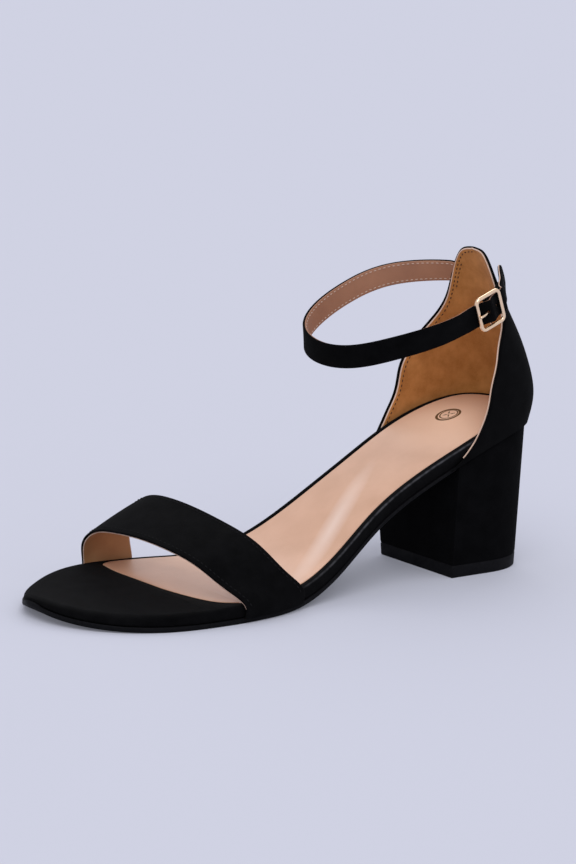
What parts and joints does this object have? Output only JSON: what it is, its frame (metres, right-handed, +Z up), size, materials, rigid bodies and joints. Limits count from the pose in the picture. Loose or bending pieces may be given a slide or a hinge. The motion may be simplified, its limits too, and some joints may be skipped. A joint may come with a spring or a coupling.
{
  "type": "block heel sandal",
  "caption": "Women's sandal with a wide toe strap, a covered block heel, a closed high counter and a buckled ankle strap.",
  "frame": {"origin": "on the heel's ground face, 21 mm behind the lower edge of its breast", "axes": "-Y towards the toe, +X towards the outer (lateral) side of this left shoe, +Z up"},
  "size_m": [0.0933, 0.2405, 0.1366],
  "materials": {
    "black_suede": "matte napped faux suede",
    "tan_insole": "smooth, low sheen",
    "black_rubber": "satin",
    "rose_gold": "polished rose gold plating"
  },
  "bodies": {
    "root": {"outsole": "black_rubber", "insole_board": "black_suede", "insole": "tan_insole", "heel_block": "black_suede", "top_lift": "black_rubber", "counter_and_ankle_strap": "black_suede", "toe_strap": "black_suede", "buckle_frame": "rose_gold", "buckle_prong": "rose_gold"}
  },
  "joints": []
}
